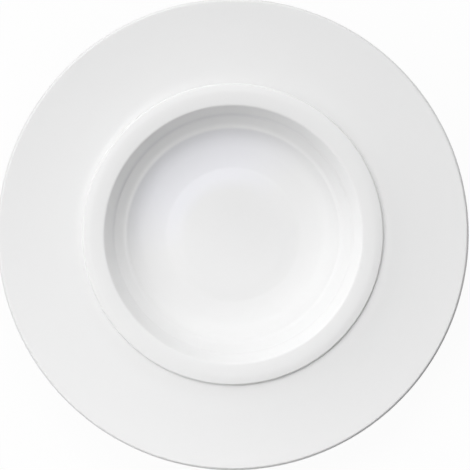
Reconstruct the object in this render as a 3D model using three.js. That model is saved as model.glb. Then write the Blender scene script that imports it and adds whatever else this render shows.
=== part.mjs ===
// A wide-rimmed deep plate in white porcelain: one fired body on a foot ring, and the glaze fused onto it.
// A raised collar stands round the well. Only the foot ring's standing face is left without glaze.
// Millimetres, +Z up. The origin is on the plate's axis, on the table.
import * as THREE from "three";

// Overall sizes
const PLATE_DIAMETER = 300; // finished size, glaze included
const GLAZE_THICKNESS = 0.3;
const GLAZE_GAP = 0.01; // hairline that keeps the two solids apart; in the real plate they are fused

// Runs are measured outwards from the plate's axis, and slopes are in degrees, rising outwards.
// Floor of the well: a flat disc, a gentle fall round it, and a groove at its edge
const FLOOR_FLAT_RADIUS = 31;
const FLOOR_TURN_RUN = 4.5;
const FLOOR_FALL_RUN = 7;
const FLOOR_FALL_DEG = -8.5;
const FLOOR_GROOVE_RUN = 1.5;
const FLOOR_THICKNESS = 6;

// Wall of the well: a gentle apron, the bowl's curve, a crease with a narrow ledge,
// the wall itself, its steep neck, and the mouth
const APRON_RUN = 13;
const APRON_DEG = [0.5, 9.5];
const BOWL_RUN = 11.1;
const BOWL_END_DEG = 56;
const CREASE_RUN = 1.2;
const CREASE_END_DEG = 32;
const LEDGE_RUN = 2.2;
const WALL_RUN = 4.2;
const WALL_DEG = [54, 59];
const NECK_RUN = 0.9;
const NECK_END_DEG = 83;
const NECK_GROOVE_RUN = 0.8;
const MOUTH_RUN = 4.2;
const MOUTH_DEG = [65, 60];
const WALL_THICKNESS = 5.5;

// Collar: a rounded lip round the mouth, a nearly flat top, a soft fold, a shoulder,
// and a sharp step down to the rim
const LIP_RUN = 1.3;
const COLLAR_TOP_RUN = 6.5;
const COLLAR_TOP_DEG = [5, 1.5];
const COLLAR_FOLD_RUN = 2;
const COLLAR_THICKNESS = 6.5;
const SHOULDER_RUN = 3.1;
const SHOULDER_DEG = [-5, -9];
const STEP_EDGE_RUN = 0.45;
const STEP_RUN = 0.5;
const STEP_DEG = -75;
const STEP_FILLET_RUN = 0.5;

// Rim: a shallow dish that falls a little from the collar, then rises to an edge with a steep side
const RIM_DEG = [-1.6, 4.8];
const RIM_ROOT_THICKNESS = 5.5;
const EDGE_THICKNESS = 4.9;
const EDGE_TURN_RUN = 0.75;
const EDGE_TURN_END_DEG = -60;
const EDGE_SIDE_RUN = 1.05;

// Foot ring: stands a little outside the floor's edge, and lifts the recess under the floor off the table
const FOOT_SETBACK = 4.6; // from the floor's edge out to the foot's inner wall
const FOOT_WIDTH = 5;
const FOOT_DEPTH = 6;
const FOOT_EDGE_RADIUS = 1;
const FOOT_ROOT_RUN = 2.5;
const BARE_HEIGHT = 1.5; // height of the band at the foot that the glaze leaves free

// Fineness: flats round the plate, and chords along the curves of its section
const FLATS_ROUND = 48;
const TURN_CHORDS = 2;
const CURVE_CHORDS = 4;

const OUTWARDS = new THREE.Vector2(1, 0);
const UPWARDS = new THREE.Vector2(0, 1);

const last = (points) => points[points.length - 1];

// Unit direction of a slope given in degrees.
function direction(slope) {
  const angle = THREE.MathUtils.degToRad(slope);
  return new THREE.Vector2(Math.cos(angle), Math.sin(angle));
}

// An arc that runs outwards from a point while its slope turns between two angles; the point is left out.
function sweep(from, run, [startSlope, endSlope], chords = TURN_CHORDS) {
  if (startSlope === endSlope) {
    const way = direction(startSlope);
    return [from.clone().addScaledVector(way, run / way.x)];
  }
  const start = direction(startSlope);
  const radius = run / (direction(endSlope).y - start.y);
  return Array.from({ length: chords }, (_, i) => {
    const now = direction(THREE.MathUtils.lerp(startSlope, endSlope, (i + 1) / chords));
    return new THREE.Vector2(from.x + radius * (now.y - start.y), from.y + radius * (start.x - now.x));
  });
}

// A smooth bend from one point to another, with a direction given at each; the first point is left out.
function bend(from, leaving, to, arriving, chords = TURN_CHORDS) {
  const way = to.clone().sub(from);
  const reach = way.cross(arriving) / leaving.cross(arriving);
  const corner = from.clone().addScaledVector(leaving, reach);
  return new THREE.QuadraticBezierCurve(from, corner, to).getPoints(chords).slice(1);
}

// A line of points moved sideways, to the right of its own direction, with mitred corners.
// The distance is one number, or a function of the point.
function offset(points, distance) {
  const rightOf = (a, b) => new THREE.Vector2(b.y - a.y, a.x - b.x).normalize();
  return points.map((point, i) => {
    const before = i > 0 ? rightOf(points[i - 1], point) : rightOf(point, points[i + 1]);
    const after = i < points.length - 1 ? rightOf(point, points[i + 1]) : before;
    const mitre = before.clone().add(after).normalize();
    const reach = typeof distance === "function" ? distance(point) : distance;
    return point.clone().addScaledVector(mitre, reach / mitre.dot(after));
  });
}

// The upper face of the body, from the middle of the floor out to the rim's edge, stretch by stretch.
function drawFace() {
  const floorHeight = FOOT_DEPTH + FLOOR_THICKNESS;
  const flat = [new THREE.Vector2(0, floorHeight), new THREE.Vector2(FLOOR_FLAT_RADIUS, floorHeight)];
  const turn = sweep(last(flat), FLOOR_TURN_RUN, [0, FLOOR_FALL_DEG]);
  const fall = sweep(last(turn), FLOOR_FALL_RUN, [FLOOR_FALL_DEG, FLOOR_FALL_DEG]);
  const groove = sweep(last(fall), FLOOR_GROOVE_RUN, [FLOOR_FALL_DEG, APRON_DEG[0]]);
  const apron = sweep(last(groove), APRON_RUN, APRON_DEG);
  const bowl = sweep(last(apron), BOWL_RUN, [APRON_DEG[1], BOWL_END_DEG], CURVE_CHORDS);
  const crease = sweep(last(bowl), CREASE_RUN, [BOWL_END_DEG, CREASE_END_DEG]);
  const ledge = sweep(last(crease), LEDGE_RUN, [CREASE_END_DEG, WALL_DEG[0]]);
  const wall = sweep(last(ledge), WALL_RUN, WALL_DEG);
  const neck = sweep(last(wall), NECK_RUN, [WALL_DEG[1], NECK_END_DEG]);
  const neckGroove = sweep(last(neck), NECK_GROOVE_RUN, [NECK_END_DEG, MOUTH_DEG[0]]);
  const mouth = sweep(last(neckGroove), MOUTH_RUN, MOUTH_DEG);
  const lip = sweep(last(mouth), LIP_RUN, [MOUTH_DEG[1], COLLAR_TOP_DEG[0]], CURVE_CHORDS);
  const top = sweep(last(lip), COLLAR_TOP_RUN, COLLAR_TOP_DEG);
  const fold = sweep(last(top), COLLAR_FOLD_RUN, [COLLAR_TOP_DEG[1], SHOULDER_DEG[0]]);
  const shoulder = sweep(last(fold), SHOULDER_RUN, SHOULDER_DEG);
  const stepEdge = sweep(last(shoulder), STEP_EDGE_RUN, [SHOULDER_DEG[1], STEP_DEG]);
  const step = sweep(last(stepEdge), STEP_RUN, [STEP_DEG, STEP_DEG]);
  const fillet = sweep(last(step), STEP_FILLET_RUN, [STEP_DEG, RIM_DEG[0]]);
  const rimEnd = PLATE_DIAMETER / 2 - GLAZE_THICKNESS - EDGE_TURN_RUN - EDGE_SIDE_RUN;
  const rim = sweep(last(fillet), rimEnd - last(fillet).x, RIM_DEG, CURVE_CHORDS);
  const edgeTurn = sweep(last(rim), EDGE_TURN_RUN, [RIM_DEG[1], EDGE_TURN_END_DEG], CURVE_CHORDS);
  const edgeSide = sweep(last(edgeTurn), EDGE_SIDE_RUN, [EDGE_TURN_END_DEG, -90]);
  return {
    ...{ flat, turn, fall, groove, apron, bowl, crease, ledge, wall, neck, neckGroove },
    ...{ mouth, lip, top, fold, shoulder, stepEdge, step, fillet, rim, edgeTurn, edgeSide },
  };
}

// The point under the end of a stretch of the face, across the thickness there, and the slope's direction.
function under(stretch, slope, thickness) {
  const along = direction(slope);
  const point = last(stretch).clone();
  return { point: point.addScaledVector(new THREE.Vector2(along.y, -along.x), thickness), along };
}

// The outside of the well: from the foot's glaze line round the bowl and up the wall, as far as the mouth.
function drawWellUnderside(glazeLine, face) {
  const stations = [
    { point: glazeLine, along: UPWARDS },
    under(face.apron, APRON_DEG[1], WALL_THICKNESS),
    under(face.bowl, BOWL_END_DEG, WALL_THICKNESS),
    under(face.neckGroove, MOUTH_DEG[0], WALL_THICKNESS),
  ];
  const bends = stations.slice(1).map((to, i) => {
    const from = stations[i];
    return bend(from.point, from.along, to.point, to.along);
  });
  return [glazeLine, ...bends.flat()];
}

// The hollow under the collar: up from the wall to a crest below the collar's top, and down again to the rim.
function drawCollarUnderside(wallEnd, face, rimStart) {
  const collarMiddle = last(face.lip).clone().lerp(last(face.top), 0.5);
  const crest = collarMiddle.addScaledVector(UPWARDS, -COLLAR_THICKNESS);
  const halfRun = (rimStart.x - crest.x) / 2;
  const fall = new THREE.CubicBezierCurve(
    crest,
    crest.clone().addScaledVector(OUTWARDS, halfRun),
    rimStart.clone().addScaledVector(direction(RIM_DEG[0]), -halfRun),
    rimStart,
  );
  const rise = bend(wallEnd, direction(MOUTH_DEG[0]), crest, OUTWARDS);
  return [...rise, ...fall.getPoints(CURVE_CHORDS).slice(1, -1)];
}

// The underside of the rim: the rim's own line, moved down by a thickness that tapers towards the edge.
function drawRimUnderside(rim) {
  const root = rim[0].x;
  const taper = (EDGE_THICKNESS - RIM_ROOT_THICKNESS) / (last(rim).x - root);
  return offset(rim, (point) => RIM_ROOT_THICKNESS + taper * (point.x - root));
}

// The bare foot ring, from the glaze line inside it, round its standing face, to the one outside it.
function drawFoot(innerGlazeLine, outerGlazeLine) {
  const innerEdge = new THREE.Vector2(innerGlazeLine.x, FOOT_EDGE_RADIUS);
  const innerStand = new THREE.Vector2(innerGlazeLine.x + FOOT_EDGE_RADIUS, 0);
  const outerStand = new THREE.Vector2(outerGlazeLine.x - FOOT_EDGE_RADIUS, 0);
  const outerEdge = new THREE.Vector2(outerGlazeLine.x, FOOT_EDGE_RADIUS);
  return [
    innerGlazeLine,
    innerEdge,
    ...bend(innerEdge, UPWARDS, innerStand, OUTWARDS),
    outerStand,
    ...bend(outerStand, OUTWARDS, outerEdge, UPWARDS),
    outerGlazeLine,
  ];
}

// The recess under the floor, from the axis out to the glaze line inside the foot ring.
function drawRecess(innerGlazeLine) {
  const centre = new THREE.Vector2(0, FOOT_DEPTH);
  const rootStart = new THREE.Vector2(innerGlazeLine.x - FOOT_ROOT_RUN, FOOT_DEPTH);
  return [centre, rootStart, ...bend(rootStart, OUTWARDS, innerGlazeLine, UPWARDS)];
}

// The whole section of the body in three stretches: the recess, from the axis out to the foot ring;
// the bare foot; and the glazed outside, up the underside, round the rim's edge and back over the face.
function drawSection() {
  const face = drawFace();
  const footInner = last(face.groove).x + FOOT_SETBACK;
  const innerGlazeLine = new THREE.Vector2(footInner, BARE_HEIGHT);
  const outerGlazeLine = new THREE.Vector2(footInner + FOOT_WIDTH, BARE_HEIGHT);
  const wellUnderside = drawWellUnderside(outerGlazeLine, face);
  const rimUnderside = drawRimUnderside(face.rim);
  const outside = [
    ...wellUnderside,
    ...drawCollarUnderside(last(wellUnderside), face, rimUnderside[0]),
    ...rimUnderside,
    ...bend(last(rimUnderside), direction(RIM_DEG[1]), last(face.edgeSide), UPWARDS),
    ...Object.values(face).flat().toReversed().slice(1),
  ];
  return { recess: drawRecess(innerGlazeLine), foot: drawFoot(innerGlazeLine, outerGlazeLine), outside };
}

// A solid of revolution about the plate's axis, from a section that starts and ends on that axis.
function revolve(name, section, material) {
  const mesh = new THREE.Mesh(new THREE.LatheGeometry(section, FLATS_ROUND), material);
  mesh.name = name;
  mesh.rotation.x = Math.PI / 2; // the lathe turns about Y, and the plate stands up along Z
  return mesh;
}

const porcelain = new THREE.MeshStandardMaterial({ color: 0xe7e4de, roughness: 0.85, metalness: 0 });
const glaze = new THREE.MeshStandardMaterial({ color: 0xf0f0f0, roughness: 0.5, metalness: 0 });

const { recess, foot, outside } = drawSection();
const bodySection = [...recess, ...foot.slice(1), ...outside.slice(1)];
const coatSection = [...offset(outside, GLAZE_GAP).toReversed(), ...offset(outside, GLAZE_THICKNESS)];
const recessCoatSection = [...offset(recess, GLAZE_THICKNESS), ...offset(recess, GLAZE_GAP).toReversed()];

const plate = new THREE.Group();
plate.add(
  revolve("porcelain_body", bodySection, porcelain),
  revolve("glaze_coat", coatSection, glaze),
  revolve("foot_recess_glaze", recessCoatSection, glaze),
);

export default plate;
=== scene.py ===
# %% [markdown]
# # A deep porcelain plate
# The plate is one fired porcelain body under a white glaze: a flat floor, a deep well, a raised collar
# round the well's mouth, and a wide rim. A potter makes such a plate on a wheel, where a template scrapes
# its section out of the turning clay. This lesson works the same way: it draws the section once, as a
# line, and turns it about the Z axis.
#
# The CAD model comes in first, as a fixed frame in metres. It says where everything is, and its box is
# kept, because the dressed plate has to stay the same size.

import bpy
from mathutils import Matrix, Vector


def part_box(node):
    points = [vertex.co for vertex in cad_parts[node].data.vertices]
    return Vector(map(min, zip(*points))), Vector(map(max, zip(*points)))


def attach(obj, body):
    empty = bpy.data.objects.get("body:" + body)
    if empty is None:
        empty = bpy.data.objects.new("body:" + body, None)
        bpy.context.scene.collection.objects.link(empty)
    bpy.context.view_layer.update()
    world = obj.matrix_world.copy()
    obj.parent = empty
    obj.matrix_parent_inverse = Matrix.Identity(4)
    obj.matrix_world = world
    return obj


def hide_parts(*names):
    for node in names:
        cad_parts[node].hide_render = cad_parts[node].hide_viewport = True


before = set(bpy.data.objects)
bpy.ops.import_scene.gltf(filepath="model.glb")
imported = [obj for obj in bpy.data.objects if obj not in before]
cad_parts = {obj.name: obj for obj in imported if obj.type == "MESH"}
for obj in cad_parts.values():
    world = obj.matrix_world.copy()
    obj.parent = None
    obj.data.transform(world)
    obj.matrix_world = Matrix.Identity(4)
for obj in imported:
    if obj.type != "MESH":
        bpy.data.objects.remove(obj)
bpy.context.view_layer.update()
MM = 0.001
print("CAD nodes:", sorted(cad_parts))

# %% [markdown]
# ## The sizes of the section
# A plate's section is easiest to think of as a walk from the middle of the floor out to the rim: each
# stretch goes so far outwards while its slope turns from one angle to another. That gives smooth arcs,
# where a list of points would need hundreds of numbers. The CAD model is made from the same walk, so both
# agree. The radius of the body is read from the frame, and the rim takes what the other stretches leave.

# %% Runs and slopes of the face
FLOOR_HEIGHT = 12 * MM
FLOOR_FLAT_RADIUS = 31 * MM
RIM_SLOPES = (-1.6, 4.8)
rim_edge_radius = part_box("porcelain_body")[1].x

# name, run outwards in metres, slope in degrees at its start and at its end
FACE_STRETCHES = (
    ("floor_turn", 4.5 * MM, 0, -8.5),
    ("floor_fall", 7 * MM, -8.5, -8.5),
    ("floor_groove", 1.5 * MM, -8.5, 0.5),
    ("apron", 13 * MM, 0.5, 9.5),
    ("bowl", 11.1 * MM, 9.5, 56),
    ("crease", 1.2 * MM, 56, 32),
    ("ledge", 2.2 * MM, 32, 54),
    ("wall", 4.2 * MM, 54, 59),
    ("neck", 0.9 * MM, 59, 83),
    ("neck_groove", 0.8 * MM, 83, 65),
    ("mouth", 4.2 * MM, 65, 60),
    ("lip", 1.3 * MM, 60, 5),
    ("collar_top", 6.5 * MM, 5, 1.5),
    ("collar_fold", 2 * MM, 1.5, -5),
    ("shoulder", 3.1 * MM, -5, -9),
    ("step_edge", 0.45 * MM, -9, -75),
    ("step", 0.5 * MM, -75, -75),
    ("step_fillet", 0.5 * MM, -75, RIM_SLOPES[0]),
)
EDGE_STRETCHES = (
    ("edge_turn", 0.75 * MM, RIM_SLOPES[1], -60),
    ("edge_side", 1.05 * MM, -60, -90),
)
stretch_runs = [run for name, run, start_slope, end_slope in FACE_STRETCHES + EDGE_STRETCHES]
rim_run = rim_edge_radius - FLOOR_FLAT_RADIUS - sum(stretch_runs)
section_walk = (*FACE_STRETCHES, ("rim", rim_run, *RIM_SLOPES), *EDGE_STRETCHES)
print("The rim takes", round(rim_run / MM, 1), "mm of a radius of", round(rim_edge_radius / MM, 1), "mm")

# %% [markdown]
# ## Pens
# A section line in Blender is a row of vertices joined by edges. Small pens draw it on from its last
# vertex, the tip: one extrudes the tip along a straight line, one spins it about the centre of an arc, and
# one leads it along a curve that leaves in one direction and arrives in another. Spin on a lone vertex is
# the same operator that later turns the whole line into a plate, so the arcs are true ones.

# %% Pens that draw the section
import math

import bmesh
from mathutils import Vector
from mathutils.geometry import interpolate_bezier, intersect_line_line

LARGEST_TURN = 4
LONGEST_CHORD = 4 * MM
BEND_CHORDS = 10
CORNER_PULL = 2 / 3


def slope_way(slope):
    angle = math.radians(slope)
    return Vector((math.cos(angle), 0, math.sin(angle)))


def start_line(bm, place):
    return bmesh.ops.create_vert(bm, co=place)["vert"][0]


def draw_to(bm, tip, place):
    new_tip = bmesh.ops.extrude_vert_indiv(bm, verts=[tip])["verts"][0]
    bmesh.ops.translate(bm, verts=[new_tip], vec=place - tip.co)
    return new_tip


def draw_stretch(bm, tip, run, start_slope, end_slope):
    start, end = slope_way(start_slope), slope_way(end_slope)
    if start_slope == end_slope:
        return draw_to(bm, tip, tip.co + start * run / start.x)
    radius = run / (end.z - start.z)
    centre = tip.co + radius * Vector((-start.z, 0, start.x))
    turn = end_slope - start_slope
    chords = max(math.ceil(abs(turn) / LARGEST_TURN), math.ceil(run / LONGEST_CHORD))
    angle = math.radians(turn)
    arc = bmesh.ops.spin(bm, geom=[tip], cent=centre, axis=(0, -1, 0), angle=angle, steps=chords)
    return arc["geom_last"][0]


def draw_curve(bm, tip, knots):
    for point in interpolate_bezier(*knots, BEND_CHORDS + 1)[1:]:
        tip = draw_to(bm, tip, point)
    return tip


def draw_bend(bm, tip, leaving, place, arriving):
    start = tip.co.copy()
    corner = intersect_line_line(start, start + leaving, place, place + arriving)[0]
    pulls = [knot.lerp(corner, CORNER_PULL) for knot in (start, place)]
    return draw_curve(bm, tip, (start, *pulls, place))


print("A stretch turns at most", LARGEST_TURN, "degrees from one chord to the next")

# %% [markdown]
# ## The face
# The face is what the food touches and the eye sees. From the middle outwards it has the floor, which
# falls a little to a shallow groove; the bowl, which ends in a crease with a narrow ledge; the wall, which
# steepens in a neck below the mouth; the rounded lip; the collar, with a soft fold and a sharp step down;
# and the rim, whose edge has a steep side. The walk above is drawn stretch by stretch. The place where
# each stretch ends is kept, because the underside and the glaze's colour are set out from those places.

# %% Draw the face
def draw_face(bm):
    ends = {}
    tip = start_line(bm, (0, 0, FLOOR_HEIGHT))
    tip = draw_to(bm, tip, Vector((FLOOR_FLAT_RADIUS, 0, FLOOR_HEIGHT)))
    for name, run, start_slope, end_slope in section_walk:
        tip = draw_stretch(bm, tip, run, start_slope, end_slope)
        ends[name] = (tip.co.copy(), slope_way(end_slope))
    return ends


trial = bmesh.new()
face_ends = draw_face(trial)
rim_height = face_ends["rim"][0].z
print("The face has", len(trial.verts), "points; the rim ends", round(rim_height / MM, 2), "mm up")
trial.free()

# %% [markdown]
# ## The underside
# Nobody sees the underside in use, but it gives the plate its weight and its grip. The picture doesn't
# show it, so it is drawn as such plates are made: a wall of even thickness, a collar that is hollow below,
# and a rim that thins towards its edge. Each station lies straight across the wall from the end of a
# stretch of the face, and curves join the stations. The line starts at the glaze line on the foot ring,
# and its last bend comes up to the rim's edge, where the face ends.

# %% Draw the underside
WALL_THICKNESS = 5.5 * MM
COLLAR_THICKNESS = 6.5 * MM
RIM_ROOT_THICKNESS = 5.5 * MM
EDGE_THICKNESS = 4.9 * MM
BARE_HEIGHT = 1.5 * MM
FOOT_SETBACK = 4.6 * MM
FOOT_WIDTH = 5 * MM
OUTWARDS = Vector((1, 0, 0))
UPWARDS = Vector((0, 0, 1))
foot_inner = face_ends["floor_groove"][0].x + FOOT_SETBACK
foot_outer = foot_inner + FOOT_WIDTH


def across(end, thickness):
    place, way = end
    return place + thickness * Vector((way.z, 0, -way.x)), way


def draw_underside(bm, ends):
    tip = start_line(bm, (foot_outer, 0, BARE_HEIGHT))
    way = UPWARDS
    for name in ("apron", "bowl", "neck_groove"):
        place, next_way = across(ends[name], WALL_THICKNESS)
        tip = draw_bend(bm, tip, way, place, next_way)
        way = next_way
    collar_middle = (ends["lip"][0] + ends["collar_top"][0]) / 2
    crest = collar_middle - COLLAR_THICKNESS * UPWARDS
    tip = draw_bend(bm, tip, way, crest, OUTWARDS)
    rim_start, rim_way = across(ends["step_fillet"], RIM_ROOT_THICKNESS)
    pull = (rim_start.x - crest.x) / 2
    hollow = (crest, crest + pull * OUTWARDS, rim_start - pull * rim_way, rim_start)
    tip = draw_curve(bm, tip, hollow)
    rim_end, end_way = across(ends["rim"], EDGE_THICKNESS)
    tip = draw_bend(bm, tip, rim_way, rim_end, end_way)
    return draw_bend(bm, tip, end_way, ends["edge_side"][0], UPWARDS)


trial = bmesh.new()
draw_underside(trial, face_ends)
print("The underside has", len(trial.verts), "points, from", round(foot_outer / MM, 1), "mm outwards")
trial.free()

# %% [markdown]
# ## The foot ring and the recess
# A plate stands on a narrow ring, so that it doesn't rock on a middle that sagged in the kiln. The ring's
# standing face is wiped free of glaze before firing, or it would stick to the kiln shelf. Inside it lies a
# shallow recess under the floor. Both are drawn with the same pens.

# %% Draw the foot ring and the recess
FOOT_DEPTH = 6 * MM
FOOT_EDGE_RADIUS = 1 * MM
FOOT_ROOT_RUN = 2.5 * MM


def draw_foot(bm):
    tip = start_line(bm, (foot_inner, 0, BARE_HEIGHT))
    tip = draw_to(bm, tip, Vector((foot_inner, 0, FOOT_EDGE_RADIUS)))
    tip = draw_bend(bm, tip, -UPWARDS, Vector((foot_inner + FOOT_EDGE_RADIUS, 0, 0)), OUTWARDS)
    tip = draw_to(bm, tip, Vector((foot_outer - FOOT_EDGE_RADIUS, 0, 0)))
    tip = draw_bend(bm, tip, OUTWARDS, Vector((foot_outer, 0, FOOT_EDGE_RADIUS)), UPWARDS)
    return draw_to(bm, tip, Vector((foot_outer, 0, BARE_HEIGHT)))


def draw_recess(bm):
    tip = start_line(bm, (0, 0, FOOT_DEPTH))
    tip = draw_to(bm, tip, Vector((foot_inner - FOOT_ROOT_RUN, 0, FOOT_DEPTH)))
    return draw_bend(bm, tip, OUTWARDS, Vector((foot_inner, 0, BARE_HEIGHT)), -UPWARDS)


print("The foot ring stands on a face", round((FOOT_WIDTH - 2 * FOOT_EDGE_RADIUS) / MM, 1), "mm wide")

# %% [markdown]
# ## Turning the line
# Spin carries the line once round the axis and joins its end to its start. Points on the axis are copied
# at each step, so doubles are merged into one pole, and after that the normals are made to point outwards.
# Smooth shading does the rest: with this many flats the outline looks round, even close up.

# %% A wheel that turns a section into a piece
import bpy

FLATS_ROUND = 192
MERGE_DISTANCE = 0.001 * MM


def turn_line(bm):
    bmesh.ops.remove_doubles(bm, verts=bm.verts, dist=MERGE_DISTANCE)
    line = bm.verts[:] + bm.edges[:]
    bmesh.ops.spin(
        bm,
        geom=line,
        cent=(0, 0, 0),
        axis=(0, 0, 1),
        angle=math.tau,
        steps=FLATS_ROUND,
        use_merge=True,
    )
    bmesh.ops.remove_doubles(bm, verts=bm.verts, dist=MERGE_DISTANCE)
    bmesh.ops.recalc_face_normals(bm, faces=bm.faces)


def finish_piece(bm, name):
    for face in bm.faces:
        face.smooth = True
    mesh = bpy.data.meshes.new(name)
    bm.to_mesh(mesh)
    bm.free()
    piece = bpy.data.objects.new(name, mesh)
    bpy.context.scene.collection.objects.link(piece)
    heights = [round(vertex.co.z / MM, 2) for vertex in mesh.vertices]
    print(name, "has", len(mesh.polygons), "faces, from", min(heights), "to", max(heights), "mm high")
    return piece


flat_length = math.tau * rim_edge_radius / FLATS_ROUND
print("A turn has", FLATS_ROUND, "flats, each", round(flat_length / MM, 1), "mm long at the rim's edge")

# %% [markdown]
# ## The fired body
# The body is the clay itself. After firing only its foot shows, matt and faintly grainy, and the rest lies
# under the glaze. It is still a whole closed solid, because a part that someone cuts open or weighs should
# be right inside too.

# %% The body
PORCELAIN_DENSITY = 2350

body_mesh = bmesh.new()
draw_face(body_mesh)
draw_underside(body_mesh, face_ends)
draw_foot(body_mesh)
draw_recess(body_mesh)
turn_line(body_mesh)
body_weight = body_mesh.calc_volume() * PORCELAIN_DENSITY
print("The body is closed:", all(edge.is_manifold for edge in body_mesh.edges))
print("It weighs about", round(body_weight, 2), "kg at", PORCELAIN_DENSITY, "kg per cubic metre")
fired_body = finish_piece(body_mesh, "fired_body")

# %% [markdown]
# ## The glaze line
# Where the glaze was wiped off the foot, it ends in a line. The hand with the sponge wasn't steady, so the
# line wanders a little, and the melt drew back into a small round bead. The wander is a sum of a few waves
# round the plate, so it closes on itself, and the bead is a bevel along the edge of the coat.

# %% A line that wanders and a bead along it
LINE_WANDER = 0.12 * MM
WANDER_WAVES = ((5, 0.0), (11, 1.3), (17, 4.1))
LINE_REACH = 2 * LINE_WANDER
SKIN_REACH = LINE_WANDER / 2
BEAD_RADIUS = 0.2 * MM
BEAD_SEGMENTS = 3


def wander_glaze_line(bm):
    for vertex in bm.verts:
        if vertex.is_boundary:
            angle = math.atan2(vertex.co.y, vertex.co.x)
            sway = sum(math.sin(waves * angle + phase) for waves, phase in WANDER_WAVES)
            vertex.co.z += LINE_WANDER * sway / len(WANDER_WAVES)


def bead_the_edge(bm, line_radius):
    ring = []
    for edge in bm.edges:
        places = [vertex.co for vertex in edge.verts]
        on_line = all(abs(place.z - BARE_HEIGHT) < LINE_REACH for place in places)
        on_skin = all(abs(place.xy.length - line_radius) < SKIN_REACH for place in places)
        if on_line and on_skin:
            ring.append(edge)
    bmesh.ops.bevel(
        bm,
        geom=ring,
        offset=BEAD_RADIUS,
        segments=BEAD_SEGMENTS,
        profile=0.5,
        affect="EDGES",
        material=-1,
    )
    return len(ring)


print("The glaze line wanders up to", round(LINE_WANDER / MM, 2), "mm up or down")

# %% [markdown]
# ## The coat of glaze
# The plate is dipped, and the glaze melts into a glassy skin about a third of a millimetre thick. So the
# coat is made from the body's own line: turned, swollen along its normals, and then given its thickness
# inwards. A hairline gap keeps coat and body two solids. The bare foot parts the coat in two: one piece
# over the outside, and one in the recess.

# %% The glaze over the outside and in the recess
GLAZE_THICKNESS = 0.3 * MM
GLAZE_GAP = 0.01 * MM


def face_the_air(bm, pole_way):
    pole = min(bm.verts, key=lambda vertex: vertex.co.xy.length)
    if pole.normal.dot(pole_way) < 0:
        bmesh.ops.reverse_faces(bm, faces=bm.faces)


def coat_line(bm, name, line_radius, pole_way):
    turn_line(bm)
    face_the_air(bm, pole_way)
    wander_glaze_line(bm)
    bm.normal_update()
    for vertex in bm.verts:
        vertex.co += GLAZE_THICKNESS * vertex.normal
    bmesh.ops.solidify(bm, geom=bm.faces[:], thickness=GLAZE_THICKNESS - GLAZE_GAP)
    beaded = bead_the_edge(bm, line_radius)
    closed = all(edge.is_manifold for edge in bm.edges)
    print(name, "is closed:", closed, "with a bead on", beaded, "edges")
    return finish_piece(bm, name)


coat_mesh = bmesh.new()
draw_face(coat_mesh)
draw_underside(coat_mesh, face_ends)
glaze_skin = coat_line(coat_mesh, "glaze_skin", foot_outer + GLAZE_THICKNESS, UPWARDS)
recess_mesh = bmesh.new()
draw_recess(recess_mesh)
recess_skin = coat_line(recess_mesh, "recess_skin", foot_inner - GLAZE_THICKNESS, -UPWARDS)

# %% [markdown]
# ## What fired surfaces share
# Clay and glaze were both soft once, and both froze with small unevenness: a fine one, of grains or of the
# glaze's orange peel, and a broad one, of slow ripples. Both materials need it, at different sizes, so it
# is a node group with named sockets, built once. It reads the place on the plate in metres, so the pattern
# keeps its size on every piece.

# %% A node group for fired surfaces
GRAIN_DETAIL = 2
RIPPLE_DETAIL = 1


def plug(tree, value, socket):
    if isinstance(value, bpy.types.NodeSocket):
        tree.links.new(value, socket)
    else:
        socket.default_value = value


def add_math(tree, operation, first, second):
    node = tree.nodes.new("ShaderNodeMath")
    node.operation = operation
    plug(tree, first, node.inputs[0])
    plug(tree, second, node.inputs[1])
    return node.outputs[0]


def add_noise(tree, place, size, detail):
    noise = tree.nodes.new("ShaderNodeTexNoise")
    noise.inputs["Detail"].default_value = detail
    tree.links.new(place, noise.inputs["Vector"])
    tree.links.new(add_math(tree, "DIVIDE", 1, size), noise.inputs["Scale"])
    return noise.outputs["Fac"]


fired_unevenness = bpy.data.node_groups.new("fired_unevenness", "ShaderNodeTree")
sockets = fired_unevenness.interface
sockets.new_socket("Place", in_out="INPUT", socket_type="NodeSocketVector")
for size_name in ("Grain Size", "Ripple Size"):
    sockets.new_socket(size_name, in_out="INPUT", socket_type="NodeSocketFloat")
for pattern_name in ("Grain", "Ripple"):
    sockets.new_socket(pattern_name, in_out="OUTPUT", socket_type="NodeSocketFloat")
group_in = fired_unevenness.nodes.new("NodeGroupInput").outputs
group_out = fired_unevenness.nodes.new("NodeGroupOutput").inputs
grain = add_noise(fired_unevenness, group_in["Place"], group_in["Grain Size"], GRAIN_DETAIL)
ripple = add_noise(fired_unevenness, group_in["Place"], group_in["Ripple Size"], RIPPLE_DETAIL)
fired_unevenness.links.new(grain, group_out["Grain"])
fired_unevenness.links.new(ripple, group_out["Ripple"])
print("Group", fired_unevenness.name, "puts out", [socket.name for socket in group_out if socket.name])

# %% [markdown]
# ## Tools for a finish
# A finish is a few nodes in front of a Principled shader. These tools add them: the unevenness, a range
# that turns its pattern into roughness, a bump that turns it into relief, and a mix of two colours. Noise
# seldom comes near 0 or 1, so a range reads only the middle of it, where nearly all of its values lie.

# %% Small tools for materials
NOISE_SPAN = (0.3, 0.7)


def new_material(name):
    material = bpy.data.materials.new(name)
    material.use_nodes = True
    tree = material.node_tree
    return material, tree, tree.nodes["Principled BSDF"]


def add_unevenness(tree, grain_size, ripple_size):
    place = tree.nodes.new("ShaderNodeTexCoord").outputs["Object"]
    group = tree.nodes.new("ShaderNodeGroup")
    group.node_tree = fired_unevenness
    group.inputs["Grain Size"].default_value = grain_size
    group.inputs["Ripple Size"].default_value = ripple_size
    tree.links.new(place, group.inputs["Place"])
    return place, group.outputs["Grain"], group.outputs["Ripple"]


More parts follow.
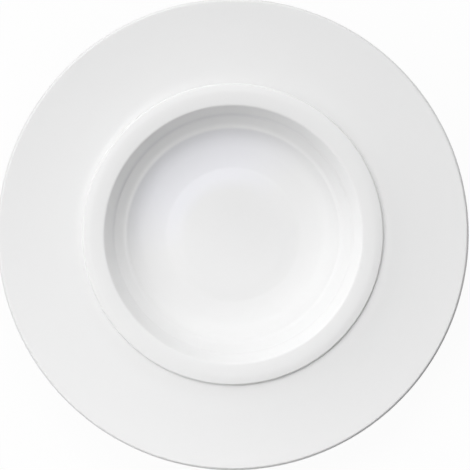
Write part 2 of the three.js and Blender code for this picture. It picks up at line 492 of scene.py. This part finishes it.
def add_range(tree, value, target, source=NOISE_SPAN):
    remap = tree.nodes.new("ShaderNodeMapRange")
    for name, end in zip(("From Min", "From Max", "To Min", "To Max"), (*source, *target)):
        remap.inputs[name].default_value = end
    tree.links.new(value, remap.inputs["Value"])
    return remap.outputs["Result"]


def add_bump(tree, shader, height, distance, before=None):
    bump = tree.nodes.new("ShaderNodeBump")
    bump.inputs["Distance"].default_value = distance
    tree.links.new(height, bump.inputs["Height"])
    if before:
        tree.links.new(before, bump.inputs["Normal"])
    tree.links.new(bump.outputs["Normal"], shader.inputs["Normal"])
    return bump.outputs["Normal"]


def add_mix(tree, amount, first, second):
    mix = tree.nodes.new("ShaderNodeMix")
    mix.data_type = "RGBA"
    colours = [socket for socket in mix.inputs if socket.type == "RGBA"]
    plug(tree, first, colours[0])
    plug(tree, second, colours[1])
    tree.links.new(amount, mix.inputs["Factor"])
    return next(socket for socket in mix.outputs if socket.type == "RGBA")


print("A finish reads noise from", NOISE_SPAN[0], "to", NOISE_SPAN[1])

# %% [markdown]
# ## Rings and a lean
# What changes over a turned thing often changes in rings. All points of a ring have one distance from the
# axis, so a colour ramp over that distance draws every ring at once, with no picture and no seam. A lean
# says how far towards one side a point lies, whatever its distance, and so keeps rings to that side.

# %% Rings round the axis, and a lean to one side
def add_axis_distance(tree, place):
    flatten = tree.nodes.new("ShaderNodeVectorMath")
    flatten.operation = "MULTIPLY"
    flatten.inputs[1].default_value = (1, 1, 0)
    tree.links.new(place, flatten.inputs[0])
    length = tree.nodes.new("ShaderNodeVectorMath")
    length.operation = "LENGTH"
    tree.links.new(flatten.outputs["Vector"], length.inputs[0])
    return length.outputs["Value"]


def add_ring(tree, distance, ring):
    ramp = tree.nodes.new("ShaderNodeValToRGB")
    stops = ramp.color_ramp.elements
    while len(stops) < len(ring):
        stops.new(0.5)
    for stop, (radius, colour) in zip(stops, ring):
        stop.position = radius / rim_edge_radius
        stop.color = colour
    tree.links.new(add_math(tree, "DIVIDE", distance, rim_edge_radius), ramp.inputs["Fac"])
    return ramp.outputs["Color"]


def add_lean(tree, place, distance, side, reach):
    along = tree.nodes.new("ShaderNodeVectorMath")
    along.operation = "DOT_PRODUCT"
    along.inputs[1].default_value = side
    tree.links.new(place, along.inputs[0])
    share = add_math(tree, "DIVIDE", along.outputs["Value"], distance)
    return add_range(tree, share, (0, 1), reach)


print("A ramp runs from the axis to the edge of the body,", round(rim_edge_radius / MM, 1), "mm out")

# %% [markdown]
# ## The glaze's depth
# On one side of the plate the glaze's colour carries painted shade and painted highlight: a cool painted
# shade in the bowl, darker towards the bowl's end, a painted highlight on the crease, and a line of painted
# shade in the neck. The collar's sharp step carries a grey painted shade all round, which dims its
# highlight. One picture can't tell such a tint from shading, so this is a guess, and the steps of colour
# are small ones.

# %% Colours of the glaze, and where they lie
GLAZE_WHITE = (0.87, 0.87, 0.87, 1)
# painted cool shade in the bowl, on the shaded side
PAINTED_COOL_SHADE = (0.863, 0.865, 0.898, 1)
# painted shade, darker towards the bowl's end on the shaded side
PAINTED_BOWL_END_SHADE = (0.81, 0.812, 0.835, 1)
# painted shade along the neck, on the shaded side
PAINTED_NECK_SHADE = (0.785, 0.785, 0.795, 1)
# painted highlight on the crease, on the shaded side
PAINTED_CREASE_HIGHLIGHT = (0.935, 0.935, 0.935, 1)
# painted shade on the collar's step, which dims its highlight
PAINTED_STEP_SHADE = (0.822, 0.822, 0.822, 1)
# the side of the plate whose glaze carries painted shade and painted highlight, and how far round it
# reaches
PAINTED_LIGHT_SIDE = (-0.5, 0.866, 0)
PAINTED_LIGHT_REACH = (0.25, 0.85)


def end_radius(stretch):
    return face_ends[stretch][0].x


# distance from the axis, and the glaze's colour there: painted shade on the step all round, and painted
# shade and highlight on one side
# painted shade on the collar's step, all round
STEP_SHADE_RINGS = (
    (end_radius("shoulder") + 0.2 * MM, GLAZE_WHITE),
    (end_radius("step_edge") + 0.2 * MM, PAINTED_STEP_SHADE),
    (end_radius("step_fillet") + 0.3 * MM, PAINTED_STEP_SHADE),
    (end_radius("step_fillet") + 1 * MM, GLAZE_WHITE),
)
# rings of painted shade and painted highlight, on one side only
PAINTED_LIGHT_RINGS = (
    (28 * MM, GLAZE_WHITE),
    (38 * MM, PAINTED_COOL_SHADE),
    (62 * MM, PAINTED_COOL_SHADE),
    (end_radius("bowl") - 0.5 * MM, PAINTED_BOWL_END_SHADE),
    (end_radius("crease"), PAINTED_CREASE_HIGHLIGHT),
    (end_radius("ledge") + 0.5 * MM, GLAZE_WHITE),
    (end_radius("wall") - 0.3 * MM, GLAZE_WHITE),
    (end_radius("neck"), PAINTED_NECK_SHADE),
    (end_radius("neck_groove") + 0.6 * MM, GLAZE_WHITE),
)
# the rings of painted shade and highlight, in mm from the axis
ring_places = [round(radius / MM, 1) for radius, colour in PAINTED_LIGHT_RINGS]
print("The glaze drained in rings", ring_places, "mm from the axis")

# %% [markdown]
# ## White satin glaze
# The glaze is an opaque white glass, fired to a satin sheen: its highlights are broad and soft. A plain
# white shader would look like paint. Here the sheen wavers with the ripples, which also swell the surface
# a little, a finer bump gives it a faint orange peel, and its colour comes from the rings above.

# %% The glaze's material
PEEL_SIZE = 2.5 * MM
PEEL_DEPTH = 0.004 * MM
RIPPLE_SIZE = 40 * MM
RIPPLE_DEPTH = 0.1 * MM
GLAZE_ROUGHNESS = (0.5, 0.56)

glaze, glaze_tree, glaze_shader = new_material("white_satin_glaze")
place, peel, ripples = add_unevenness(glaze_tree, PEEL_SIZE, RIPPLE_SIZE)
axis_distance = add_axis_distance(glaze_tree, place)
# the glaze's colour: painted shade on the step all round, and painted shade and highlight on one side
step_shade_rings = add_ring(glaze_tree, axis_distance, STEP_SHADE_RINGS)
one_side_shading_rings = add_ring(glaze_tree, axis_distance, PAINTED_LIGHT_RINGS + STEP_SHADE_RINGS)
painted_light_share = add_lean(glaze_tree, place, axis_distance, PAINTED_LIGHT_SIDE, PAINTED_LIGHT_REACH)
glaze_colour = add_mix(glaze_tree, painted_light_share, step_shade_rings, one_side_shading_rings)
glaze_tree.links.new(glaze_colour, glaze_shader.inputs["Base Color"])
glaze_sheen = add_range(glaze_tree, ripples, GLAZE_ROUGHNESS)
glaze_tree.links.new(glaze_sheen, glaze_shader.inputs["Roughness"])
swell = add_bump(glaze_tree, glaze_shader, ripples, RIPPLE_DEPTH)
add_bump(glaze_tree, glaze_shader, peel, PEEL_DEPTH, swell)
for skin in (glaze_skin, recess_skin):
    skin.data.materials.append(glaze)
print("The glaze has", len(glaze_tree.nodes), "nodes and a roughness of", GLAZE_ROUGHNESS)

# %% [markdown]
# ## Bare biscuit
# Unglazed porcelain is matt and a touch warmer than the glaze, with a fine sandy grain. The standing face
# of a foot ring is ground smooth after firing and picks up faint grey rub marks from shelves and other
# plates. The marks come from the same ripples at a smaller size, and they fade out just above the table.

# %% The biscuit's material
BISCUIT_PALE = (0.80, 0.78, 0.735, 1)
BISCUIT_RUBBED = (0.62, 0.605, 0.58, 1)
BISCUIT_ROUGHNESS = (0.75, 0.95)
SAND_SIZE = 0.35 * MM
SAND_DEPTH = 0.05 * MM
RUB_SIZE = 6 * MM
RUB_HEIGHT = 0.6 * MM


def add_low_mask(tree, place, height):
    split = tree.nodes.new("ShaderNodeSeparateXYZ")
    tree.links.new(place, split.inputs[0])
    return add_range(tree, split.outputs["Z"], (1, 0), (0, height))


biscuit, biscuit_tree, biscuit_shader = new_material("bare_biscuit")
place, sand, rubs = add_unevenness(biscuit_tree, SAND_SIZE, RUB_SIZE)
rub_marks = add_range(biscuit_tree, rubs, (0, 1))
near_table = add_low_mask(biscuit_tree, place, RUB_HEIGHT)
rub_mask = add_math(biscuit_tree, "MULTIPLY", rub_marks, near_table)
biscuit_colour = add_mix(biscuit_tree, rub_mask, BISCUIT_PALE, BISCUIT_RUBBED)
biscuit_tree.links.new(biscuit_colour, biscuit_shader.inputs["Base Color"])
biscuit_matt = add_range(biscuit_tree, sand, BISCUIT_ROUGHNESS)
biscuit_tree.links.new(biscuit_matt, biscuit_shader.inputs["Roughness"])
add_bump(biscuit_tree, biscuit_shader, sand, SAND_DEPTH)
fired_body.data.materials.append(biscuit)
print("The biscuit is rubbed up to", round(RUB_HEIGHT / MM, 1), "mm above the table")

# %% [markdown]
# ## Taking the places of the CAD nodes
# Each turned piece stands for one CAD node and rides on the plate's only body.

# %% Ride and replace
for piece, node, slot in (
    (fired_body, "porcelain_body", "biscuit"),
    (glaze_skin, "glaze_coat", "glaze"),
    (recess_skin, "foot_recess_glaze", "glaze"),
):
    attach(piece, "root")
    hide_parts(node)
    print(piece.name, "stands for", node)

# %% [markdown]
# ## The table under it
# The plate is shown on white. A floor that is only bright would light the plate from below, so the floor
# is an ordinary pale surface to the light, and nearly white to the camera: Light Path tells the two apart.
# Glossy and transmitted rays see the white too. The table lies a hair under the foot, because two faces in
# one plane flicker.

# %% The floor, and which rays see it
FLOOR_SIZE = 6.0
FLOOR_GAP = 0.1 * MM


def add_seen_mask(tree):
    rays = tree.nodes.new("ShaderNodeLightPath").outputs
    seen = rays["Is Camera Ray"]
    for kind in ("Is Glossy Ray", "Is Transmission Ray"):
        seen = add_math(tree, "MAXIMUM", seen, rays[kind])
    return seen


floor_mesh = bmesh.new()
bmesh.ops.create_grid(floor_mesh, x_segments=1, y_segments=1, size=FLOOR_SIZE / 2)
bmesh.ops.translate(floor_mesh, verts=floor_mesh.verts, vec=-FLOOR_GAP * UPWARDS)
floor = finish_piece(floor_mesh, "floor")

# %% [markdown]
# ## White to the eye, clear from below
# A small share of a matt surface stays in what the camera sees, and that share keeps the plate's shadow.
# From below the floor is clear, so that the foot ring and the underside can be looked at.

# %% The floor's material
FLOOR_PALE = (0.4, 0.4, 0.4, 1)
FLOOR_SEEN = (0.9, 0.9, 0.9, 1)
FLOOR_ROUGHNESS = 1
FLOOR_WHITE_SHARE = 0.95


def mix_shaders(tree, amount, first, second):
    mix = tree.nodes.new("ShaderNodeMixShader")
    plug(tree, amount, mix.inputs["Fac"])
    tree.links.new(first, mix.inputs[1])
    tree.links.new(second, mix.inputs[2])
    return mix.outputs["Shader"]


table_white, floor_tree, floor_shader = new_material("table_white")
floor_shader.inputs["Base Color"].default_value = FLOOR_PALE
floor_shader.inputs["Roughness"].default_value = FLOOR_ROUGHNESS
shaded = floor_tree.nodes.new("ShaderNodeBsdfDiffuse")
shaded.inputs["Color"].default_value = FLOOR_SEEN
glow = floor_tree.nodes.new("ShaderNodeEmission").outputs["Emission"]
seen_floor = mix_shaders(floor_tree, FLOOR_WHITE_SHARE, shaded.outputs["BSDF"], glow)
seen_mask = add_seen_mask(floor_tree)
top_side = mix_shaders(floor_tree, seen_mask, floor_shader.outputs["BSDF"], seen_floor)
back_side = floor_tree.nodes.new("ShaderNodeBsdfTransparent").outputs["BSDF"]
from_below = floor_tree.nodes.new("ShaderNodeNewGeometry").outputs["Backfacing"]
floor_surface = mix_shaders(floor_tree, from_below, top_side, back_side)
floor_tree.links.new(floor_surface, floor_tree.nodes["Material Output"].inputs["Surface"])
floor.data.materials.append(table_white)
print("The camera sees", FLOOR_WHITE_SHARE, "of plain white in the floor, and the rest keeps the shadow")

# %% [markdown]
# ## Soft studio light
# The key is a broad soft light from the upper left. Two low lamps, at the left and at the back, graze the
# plate and draw the rim's edge and the step. A weaker one stands higher at the right, and two small ones
# hang near, overhead and in front. Each is given by its compass angle, its tilt from straight above and
# its distance, and looks at the plate's middle. The real lamps aren't known: lamps were rendered one by
# one, and the mix whose shading came nearest to the picture's was kept, with round powers.

# %% Lamps
AIM = Vector((0, 0, 35 * MM))
# name, compass angle from +X and tilt in degrees, then distance, width and height in metres, and watts
LAMPS = (
    ("key_softbox", 130, 38, 6, 7.7, 3.8, 200),
    ("low_left", 160, 82, 6, 5, 1.5, 100),
    ("low_back", 60, 72, 6, 5, 1.5, 72),
    ("high_right", 30, 48, 6, 5, 1.5, 36),
    ("overhead", 90, 25, 1.2, 0.6, 0.6, 3.6),
    ("near_front", 240, 50, 0.7, 0.4, 0.4, 1.6),
)


def hang_lamp(name, compass, tilt, distance, width, height, watts):
    light = bpy.data.lights.new(name, "AREA")
    light.shape = "RECTANGLE"
    light.size = width
    light.size_y = height
    light.energy = watts
    lamp = bpy.data.objects.new(name, light)
    turn, lean = math.radians(compass), math.radians(tilt)
    out = Vector((math.sin(lean) * math.cos(turn), math.sin(lean) * math.sin(turn), math.cos(lean)))
    lamp.location = AIM + distance * out
    lamp.rotation_euler = out.to_track_quat("Z", "Y").to_euler()
    lamp.visible_camera = False
    bpy.context.scene.collection.objects.link(lamp)
    return lamp


lamps = [hang_lamp(*row) for row in LAMPS]
print("Hung", [lamp.name for lamp in lamps])

# %% [markdown]
# ## The sky
# Past the floor's edge a low view looks into the sky, which should be as white as the floor. A white sky
# would also light the plate, so its strength is 1 only for the rays that see it, and 0 for the light.

# %% A sky that is only seen
SKY_WHITE = (1, 1, 1, 1)

sky = bpy.data.worlds.new("studio_sky")
bpy.context.scene.world = sky
sky.use_nodes = True
backdrop = sky.node_tree.nodes["Background"].inputs
backdrop["Color"].default_value = SKY_WHITE
sky.node_tree.links.new(add_seen_mask(sky.node_tree), backdrop["Strength"])
print("The sky's strength follows the kind of ray:", backdrop["Strength"].is_linked)

# %% [markdown]
# ## The camera
# The picture looks straight down on the plate, which fills the frame a little more than edge to edge. The
# lens follows from that: at the height of the rim's edge, half the frame covers just under the plate's
# radius. The plate sits two pixels left of the middle and a little above it, so the camera is shifted by
# as much, instead of being tilted.

# %% Camera straight above
CAMERA_HEIGHT = 1.5
FRAME_PIXELS = 470
PLATE_RADIUS_PIXELS = 235.65
PLATE_LEFT_PIXELS = 2.0
PLATE_UP_PIXELS = 0.6

camera_data = bpy.data.cameras.new("overhead_camera")
camera = bpy.data.objects.new("overhead_camera", camera_data)
bpy.context.scene.collection.objects.link(camera)
bpy.context.scene.camera = camera
camera.location = (0, 0, CAMERA_HEIGHT)
edge_height = face_ends["edge_side"][0].z
plate_radius = rim_edge_radius + GLAZE_THICKNESS
frame_width = plate_radius * FRAME_PIXELS / PLATE_RADIUS_PIXELS
camera_data.lens = camera_data.sensor_width * (CAMERA_HEIGHT - edge_height) / frame_width
camera_data.shift_x = PLATE_LEFT_PIXELS / FRAME_PIXELS
camera_data.shift_y = -PLATE_UP_PIXELS / FRAME_PIXELS
print("The lens is", round(camera_data.lens, 1), "mm; it sees", round(frame_width / MM, 1), "mm at the rim")

# %% [markdown]
# ## Showing the colours
# The colours are shown as they are, without a film look.

bpy.context.scene.view_settings.view_transform = "Standard"
